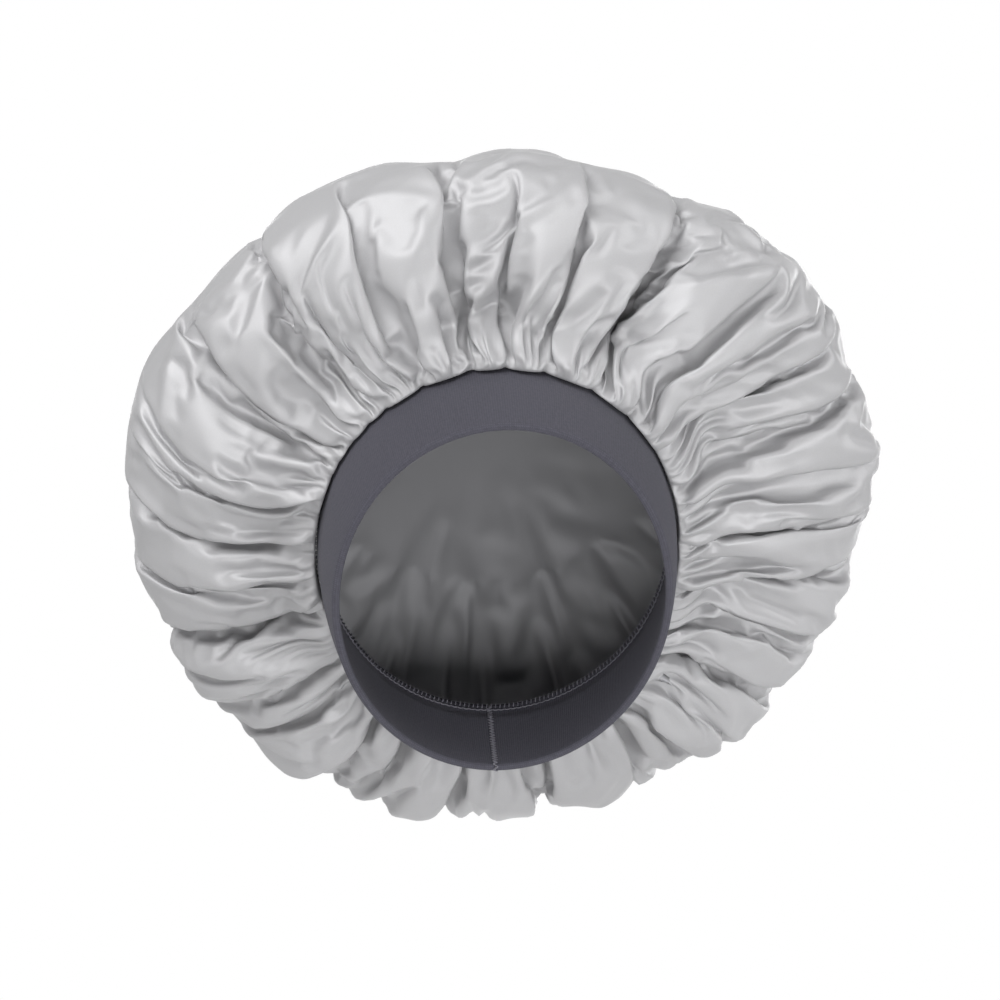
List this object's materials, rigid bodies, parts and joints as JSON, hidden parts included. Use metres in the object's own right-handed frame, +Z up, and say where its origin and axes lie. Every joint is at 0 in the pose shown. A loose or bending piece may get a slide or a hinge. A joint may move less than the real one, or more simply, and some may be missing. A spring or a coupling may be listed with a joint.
{
  "type": "satin sleep cap",
  "caption": "Full satin sleep cap gathered onto a wide stretch-knit head band with an elastic inside; the soft crown holds the hair and its back presses in.",
  "frame": {"origin": "centre of the head opening, in the plane of the band's front fold", "axes": "+Z is up with the cap as worn, the wearer faces -Y, +X is across the head; the cap's own axis leans back 58 degrees from +Z towards +Y"},
  "size_m": [0.3378, 0.251, 0.3062],
  "materials": {
    "satin": "silver-grey polyester satin, smooth sheen",
    "knit": "dark slate-grey fine stretch knit, matte",
    "elastic_webbing": "off-white knitted elastic",
    "thread": "spun sewing thread, slate grey"
  },
  "bodies": {
    "cap_body": {"crown_side": "satin", "band_cover": "knit", "band_join_thread": "thread", "band_elastic": "elastic_webbing", "elastic_join_thread": "thread", "gathering_thread": "thread", "seam_thread": "thread", "overlock_thread": "thread"},
    "crown_pouch": {"crown_back": "satin"}
  },
  "joints": [
    {"name": "crown_collapse", "type": "slide", "parent": "cap_body", "child": "crown_pouch", "axis": [0, -0.848, -0.5299], "range_m": [0, 0.08]}
  ]
}
